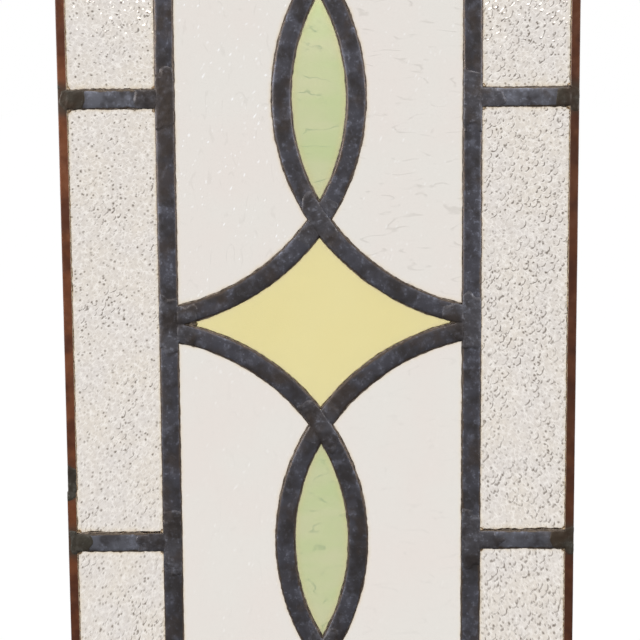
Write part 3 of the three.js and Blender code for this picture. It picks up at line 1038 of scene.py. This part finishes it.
def pane_blank(node, pitch, shaped):
    """A pane as big as the box of the solid that it replaces. A shaped one is bigger, and is cut to its outline."""
    low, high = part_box(node)
    spare = SPARE if shaped else 0
    width, height = high.x - low.x + spare, high.z - low.z + spare
    bpy.ops.object.select_all(action="DESELECT")
    bpy.ops.mesh.primitive_grid_add(
        x_subdivisions=round(width / pitch / MM), y_subdivisions=round(height / pitch / MM), size=1
    )
    ob = bpy.context.object
    ob.scale = (width, height, 1)
    ob.rotation_euler = (pi / 2, 0, 0)
    ob.location = ((low.x + high.x) / 2, -GLASS_HALF, (low.z + high.z) / 2)
    bpy.ops.object.transform_apply(location=True, rotation=True, scale=True)
    edit(ob)
    bpy.ops.mesh.region_to_loop()
    bpy.ops.mesh.extrude_edges_move(TRANSFORM_OT_translate={"value": (0, 2 * GLASS_HALF, 0)})
    bpy.ops.mesh.edge_face_add()
    outwards(ob)
    if shaped:
        cutter = joined_copy([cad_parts[node]])
        edit(cutter)
        bpy.ops.mesh.remove_doubles(threshold=1e-6)
        bpy.ops.transform.resize(value=(1, 1.5, 1), center_override=(0, 0, 0))
        bpy.ops.object.mode_set(mode="OBJECT")
        modify(ob, "BOOLEAN", operation="INTERSECT", solver="MANIFOLD", object=cutter)
        bpy.data.objects.remove(cutter)
    return ob


print("glass:", round(2 * GLASS_HALF / MM, 1), "mm thick")


# %% [markdown]
# ## Figured glass
# The border glass was rolled with a crackle: small pits in the middles of pebbles, and here and there a curved
# crease. The clear field glass has only a faint network of veins and some nicks. Each figure is one set of
# node calls. A geometry tree raises the front of the pane by it, and the material tints the glass by it. The tint
# also paints shade on one side of each crease with highlights beside it, darkens the pits with dirt and painted
# shade, and paints the nicks as bright glints.

# %% The figures as patterns
ROLLED = radians(-32)  # the way along which the figures are drawn out


def flat(graph, place):
    """Places flattened on to the panel's plane, so that a figure goes straight through the glass."""
    return graph.scaled(place, (1, 0, 1))


def pebbled(graph, place):
    """The crackled border glass: pits, creases with painted shade on one side, painted highlights beside them and
    along the pebbles' edges, and the height of the surface.
    """
    plane = flat(graph, place)
    across = graph.node("ShaderNodeSeparateXYZ", {0: plane}, out="X")
    patch = graph.noise(plane, 30, 2)

    moved = graph.wobbled(plane, 3.2, 0.8)
    speck = graph.cells(moved, 2.1)
    chance = graph.node("ShaderNodeSeparateXYZ", {0: speck.node.outputs["Color"]})
    radius = graph.ramp(chance, 0, 1, 0.16, 0.32)
    depth = graph.math(
        "MULTIPLY", graph.ramp(chance.node.outputs[1], 0, 0.9, 0.1, 1), graph.ramp(patch, 0.36, 0.54, 0.5, 1)
    )
    pit = graph.math("MULTIPLY", graph.ramp(graph.math("DIVIDE", speck, radius), 0.4, 1.5, 1, 0), depth)
    # Painted highlights: thin bright lines along the edges of the small cells.
    edge = graph.cells(moved, 2.1, feature="DISTANCE_TO_EDGE")
    ragged = graph.ramp(graph.noise(plane, 3, 1), 0.42, 0.58, 0.1, 1)
    bright = graph.math("MULTIPLY", graph.ramp(edge, 0.03, 0.14, 1, 0), ragged)

    turned = graph.node("ShaderNodeVectorRotate", {"Vector": plane, "Angle": ROLLED}, rotation_type="Y_AXIS")
    moved = graph.wobbled(graph.scaled(turned, (1.2, 1, 0.8)), 3.6, 1.5)
    pebble = graph.cells(moved, 3.3)
    chance = graph.node("ShaderNodeSeparateXYZ", {0: pebble.node.outputs["Color"]})
    outward = graph.node(
        "ShaderNodeVectorMath", {0: moved, 1: pebble.node.outputs["Position"]}, operation="SUBTRACT"
    )
    # Painted shade and highlight: each crease is darkened on the side that faces one way, as if lit from the right,
    # with a bright band outside it.
    lit = graph.along(outward, (1, 0, -0.1))
    shade = graph.math("MULTIPLY", graph.ramp(lit, -0.1, 0.6), graph.ramp(chance, 0.05, 0.45))
    creased = graph.math("ADD", patch, graph.math("MULTIPLY", across, 0.8))
    shade = graph.math("MULTIPLY", shade, graph.ramp(creased, 0.4, 0.56, 0.12, 1))
    rim = graph.math("SUBTRACT", pebble, graph.ramp(chance.node.outputs[1], 0, 1, 0.28, 0.6))
    band = graph.ramp(graph.math("ABSOLUTE", rim), 0.04, 0.13, 1, 0)
    outer = graph.ramp(graph.math("ABSOLUTE", graph.math("SUBTRACT", rim, 0.17)), 0.03, 0.11, 1, 0)
    crease = graph.math("MULTIPLY", band, shade)
    bright = graph.math("MAXIMUM", bright, graph.math("MULTIPLY", outer, shade))

    swell = graph.ramp(graph.cells(moved, 3.3, feature="DISTANCE_TO_EDGE"), 0, 0.4)
    cut = graph.math("ADD", graph.math("MULTIPLY", pit, 0.6), graph.math("MULTIPLY", crease, 0.4))
    height = graph.math("SUBTRACT", swell, cut)
    return {"pit": pit, "crease": crease, "bright": bright, "height": height}


def veined(graph, place):
    """The clear field glass: veins, nicks painted bright as glints, and the height of the surface. The figure of the
    left panes runs up and down, and that of the right panes runs across."""
    plane = flat(graph, place)
    parts = graph.node("ShaderNodeSeparateXYZ", {0: plane})
    right = graph.ramp(parts, -MM, MM)
    stretched = graph.node(
        "ShaderNodeCombineXYZ",
        {
            0: graph.math("MULTIPLY", parts, graph.ramp(right, 0, 1, 1.3, 0.45)),
            2: graph.math("MULTIPLY", parts.node.outputs[2], graph.ramp(right, 0, 1, 0.5, 1.5)),
        },
    )
    level = graph.math("ABSOLUTE", graph.math("SUBTRACT", graph.noise(stretched, 11, 1, 0.4), 0.5))
    broken = graph.ramp(graph.noise(stretched, 7, 2), 0.5, 0.64)
    vein = graph.math("MULTIPLY", graph.ramp(level, 0.004, 0.03, 1, 0), broken)
    vein = graph.math("MULTIPLY", vein, graph.ramp(right, 0, 1, 0.45, 1))
    turned = graph.node("ShaderNodeVectorRotate", {"Vector": plane, "Angle": ROLLED}, rotation_type="Y_AXIS")
    glint_nick = graph.cells(graph.scaled(graph.wobbled(turned, 16, 5), (1.4, 1, 0.7)), 3.4)
    chance = graph.node("ShaderNodeSeparateXYZ", {0: glint_nick.node.outputs["Color"]})
    radius = graph.ramp(chance.node.outputs[1], 0, 1, 0.12, 0.26)
    glint = graph.math(
        "MULTIPLY",
        graph.ramp(graph.math("DIVIDE", glint_nick, radius), 0.2, 1.3, 1, 0),
        graph.math("MULTIPLY", graph.ramp(chance, 0.1, 1.1), graph.ramp(right, 0, 1, 1, 0.4)),
    )
    wave = graph.noise(plane, 14, 2)
    sunk = graph.math("ADD", graph.math("MULTIPLY", vein, 0.3), graph.math("MULTIPLY", glint, 0.4))
    return {"vein": vein, "glint": glint, "height": graph.math("SUBTRACT", wave, sunk)}


def smooth(graph, place):
    """The opalescent glass, which is only a little wavy."""
    return {"height": graph.noise(flat(graph, place), 18, 1)}


ON_FRONT = -0.98 * GLASS_HALF


def figure(ob, pattern, depth):
    """Raise the front of a pane by a pattern, by up to so many millimetres."""
    tree = bpy.data.node_groups.new(ob.name + "_figure", "GeometryNodeTree")
    tree.interface.new_socket("Geometry", in_out="INPUT", socket_type="NodeSocketGeometry")
    tree.interface.new_socket("Geometry", in_out="OUTPUT", socket_type="NodeSocketGeometry")
    graph = Graph(tree)
    source = tree.nodes.new("NodeGroupInput").outputs[0]
    result = tree.nodes.new("NodeGroupOutput").inputs[0]
    place = graph.node("GeometryNodeInputPosition")
    deep = graph.node("ShaderNodeSeparateXYZ", {0: place}, out="Y")
    front = graph.math("LESS_THAN", deep, ON_FRONT)
    height = graph.math("MULTIPLY", graph.math("SUBTRACT", pattern(graph, place)["height"], 0.5), -depth * MM)
    offset = graph.node("ShaderNodeCombineXYZ", {1: graph.math("MULTIPLY", height, front)})
    moved = graph.node("GeometryNodeSetPosition", {"Geometry": source, "Offset": offset})
    tree.links.new(moved, result)
    modify(ob, "NODES", node_group=tree)
    bpy.data.node_groups.remove(tree)


print("figures:", pebbled.__name__, veined.__name__, smooth.__name__)


# %% [markdown]
# ## Grime on glass
# Grime and thin cement wash lie on the glass along the lead. Each point on the front of a pane keeps how near it
# is to the cement, in an attribute named rim, and every glass material stains itself by it.

# %% Measure the rim and finish a pane
from mathutils.kdtree import KDTree

edge_points = [v.co.copy() for bed in beds for v in bed.data.vertices if v.co.y < 0]
rim_tree = KDTree(len(edge_points))
for index, point in enumerate(edge_points):
    rim_tree.insert((point.x, 0, point.z), index)
rim_tree.balance()
print("points along the cement:", len(edge_points))


def finish_pane(ob, node, material, slot):
    """Write the rim, which is one at the cement and fades within a few millimetres. Above a ledge it fades more
    slowly, because grime lies there."""
    rim = ob.data.attributes.new("rim", "FLOAT", "POINT")
    near = []
    for vertex in ob.data.vertices:
        nearest, _, distance = rim_tree.find((vertex.co.x, 0, vertex.co.z))
        ledge = vertex.co.z - nearest.z > 0.8 * distance
        fade = (1.5 if not ledge else 2.6 if "border" in node else 1.9) * MM
        near.append(exp(-distance / fade) if vertex.co.y < 0 else 0.0)
    rim.data.foreach_set("value", near)
    only(ob)
    bpy.ops.object.shade_smooth_by_angle(angle=radians(50))
    return finish(ob, node + "_figured", material, slot, node)


def stained(graph, clean, stain, strength=0.8):
    """A glass colour with a pale wash near its rim, and grime along it."""
    near = graph.node("ShaderNodeAttribute", out="Fac", attribute_name="rim")
    patchy = graph.noise(graph.node("ShaderNodeTexCoord", out="Object"), 5, 3)
    wash = graph.math("MULTIPLY", graph.ramp(near, 0.1, 0.8), graph.ramp(patchy, 0.35, 0.6, 0.3, 0.9))
    washed = graph.blend(graph.math("MULTIPLY", wash, strength), clean, rgb(232, 216, 186))
    grime = graph.math("MULTIPLY", graph.ramp(near, 0.45, 1), graph.ramp(patchy, 0.4, 0.6, 0.4, 1))
    return graph.blend(graph.math("MULTIPLY", grime, strength), washed, stain)


# %% [markdown]
# ## Glass materials
# The clear glasses let everything through, and only their tint varies. The green and the yellow are opalescent, so
# they let through a little less, and show their own body colour.

# %% Clear border glass
border_glass, graph, shader = new_material(
    "pebbled_border_glass", Transmission_Weight=1.0, Roughness=0.06, IOR=1.5, Specular_IOR_Level=0.3
)
place = graph.node("ShaderNodeTexCoord", out="Object")
marks = pebbled(graph, place)
clouds = graph.ramp(graph.noise(flat(graph, place), 26, 3), 0.35, 0.65)
tint = graph.blend(clouds, rgb(228, 222, 217), rgb(230, 222, 212))
mottle = graph.ramp(graph.noise(flat(graph, place), 2.4, 2), 0.4, 0.6, 0, 0.5)
tint = graph.blend(mottle, tint, rgb(212, 204, 196))
# Painted highlights, then the painted shade of the creases.
tint = graph.blend(graph.math("MULTIPLY", marks["bright"], 0.8), tint, rgb(248, 243, 237))
tint = graph.blend(graph.math("MULTIPLY", marks["crease"], 0.85), tint, rgb(108, 97, 88))
# The pits are darkened partly by dirt in them and partly by painted shade of their steep sides, where the glass bends
# the light away.
tint = graph.blend(graph.math("MULTIPLY", marks["pit"], 0.9), tint, rgb(104, 92, 80))
feed(graph, shader["Base Color"], stained(graph, tint, rgb(170, 142, 108)))
print("border glass nodes:", len(graph.tree.nodes))

# %% Clear field glass
field_glass, graph, shader = new_material("veined_field_glass", Transmission_Weight=1.0, Roughness=0.03, IOR=1.5)
place = graph.node("ShaderNodeTexCoord", out="Object")
marks = veined(graph, place)
height = graph.node("ShaderNodeSeparateXYZ", {0: place}, out="Z")
upper = graph.ramp(height, MIDDLE, MIDDLE + 40 * MM, 0.3, 1)
clouds = graph.ramp(graph.noise(flat(graph, place), 45, 2), 0.3, 0.7)
tint = graph.blend(clouds, rgb(232, 228, 222), rgb(233, 226, 220))
vein = graph.math("MULTIPLY", graph.math("MULTIPLY", marks["vein"], upper), 0.3)
tint = graph.blend(vein, tint, rgb(186, 180, 172))
# Painted highlights: the glints tint the glass pure white, so the white behind comes through at full strength.
tint = graph.blend(graph.math("MULTIPLY", marks["glint"], upper), tint, (1, 1, 1, 1))
feed(graph, shader["Base Color"], stained(graph, tint, rgb(182, 156, 128)))
print("field glass nodes:", len(graph.tree.nodes))

# %% Opalescent green and yellow glass
green_glass, graph, shader = new_material("wispy_green_glass", Transmission_Weight=0.92, Roughness=0.25, IOR=1.5)
place = graph.node("ShaderNodeTexCoord", out="Object")
plane = flat(graph, place)
stretched = graph.scaled(graph.wobbled(plane, 10, 1.5), (0.45, 1, 1.25))
level = graph.math("ABSOLUTE", graph.math("SUBTRACT", graph.noise(stretched, 17, 3, 0.45), 0.5))
broken = graph.ramp(graph.noise(plane, 9, 2), 0.45, 0.62)
wisp = graph.math("MULTIPLY", graph.ramp(level, 0.002, 0.014, 1, 0), broken)
clouds = graph.ramp(graph.noise(stretched, 30, 3), 0.35, 0.65)
body = graph.blend(clouds, rgb(199, 209, 160), rgb(209, 210, 171))
body = graph.blend(graph.math("MULTIPLY", wisp, 0.42), body, rgb(142, 164, 132))
# Painted shade: within a few millimetres of the lead the green turns a darker yellow-olive.
near_lead = graph.node("ShaderNodeAttribute", out="Fac", attribute_name="rim")
body = graph.blend(graph.ramp(near_lead, 0.01, 0.5, 0, 0.6), body, rgb(206, 200, 136))
feed(graph, shader["Base Color"], stained(graph, body, rgb(150, 140, 96), 0.6))

yellow_glass, graph, shader = new_material("pale_yellow_glass", Transmission_Weight=0.92, Roughness=0.25, IOR=1.5)
place = graph.node("ShaderNodeTexCoord", out="Object")
clouds = graph.ramp(graph.noise(flat(graph, place), 60, 2), 0.3, 0.7)
body = graph.blend(clouds, rgb(236, 224, 165), rgb(237, 226, 169))
feed(graph, shader["Base Color"], stained(graph, body, rgb(172, 148, 88), 0.6))
print("opalescent glasses:", green_glass.name, yellow_glass.name)

# %% Make the panes
PEBBLE_PITCH = 0.6  # mm between the points of a border pane
PANE_PITCH = 1.0  # and of the others
FIGURED = 0.25  # mm from the bottom of a figure to its top
WAVY = 0.2
for hand in ("left", "right"):
    for row in ("top", "middle", "bottom"):
        node = f"border_pane_{row}_{hand}"
        ob = pane_blank(node, PEBBLE_PITCH, False)
        figure(ob, pebbled, FIGURED)
        finish_pane(ob, node, border_glass, "border_glass")
    for row in ("upper", "lower"):
        node = f"field_pane_{row}_{hand}"
        ob = pane_blank(node, PANE_PITCH, True)
        figure(ob, veined, FIGURED)
        finish_pane(ob, node, field_glass, "field_glass")
for node, material, slot in (
    ("almond_pane_upper", green_glass, "green_glass"),
    ("almond_pane_lower", green_glass, "green_glass"),
    ("diamond_pane", yellow_glass, "yellow_glass"),
    ("half_diamond_pane_top", yellow_glass, "yellow_glass"),
    ("half_diamond_pane_bottom", yellow_glass, "yellow_glass"),
):
    ob = pane_blank(node, PANE_PITCH, True)
    figure(ob, smooth, WAVY)
    finish_pane(ob, node, material, slot)

# %% [markdown]
# ## Size
# The looks must not change the size of the part.
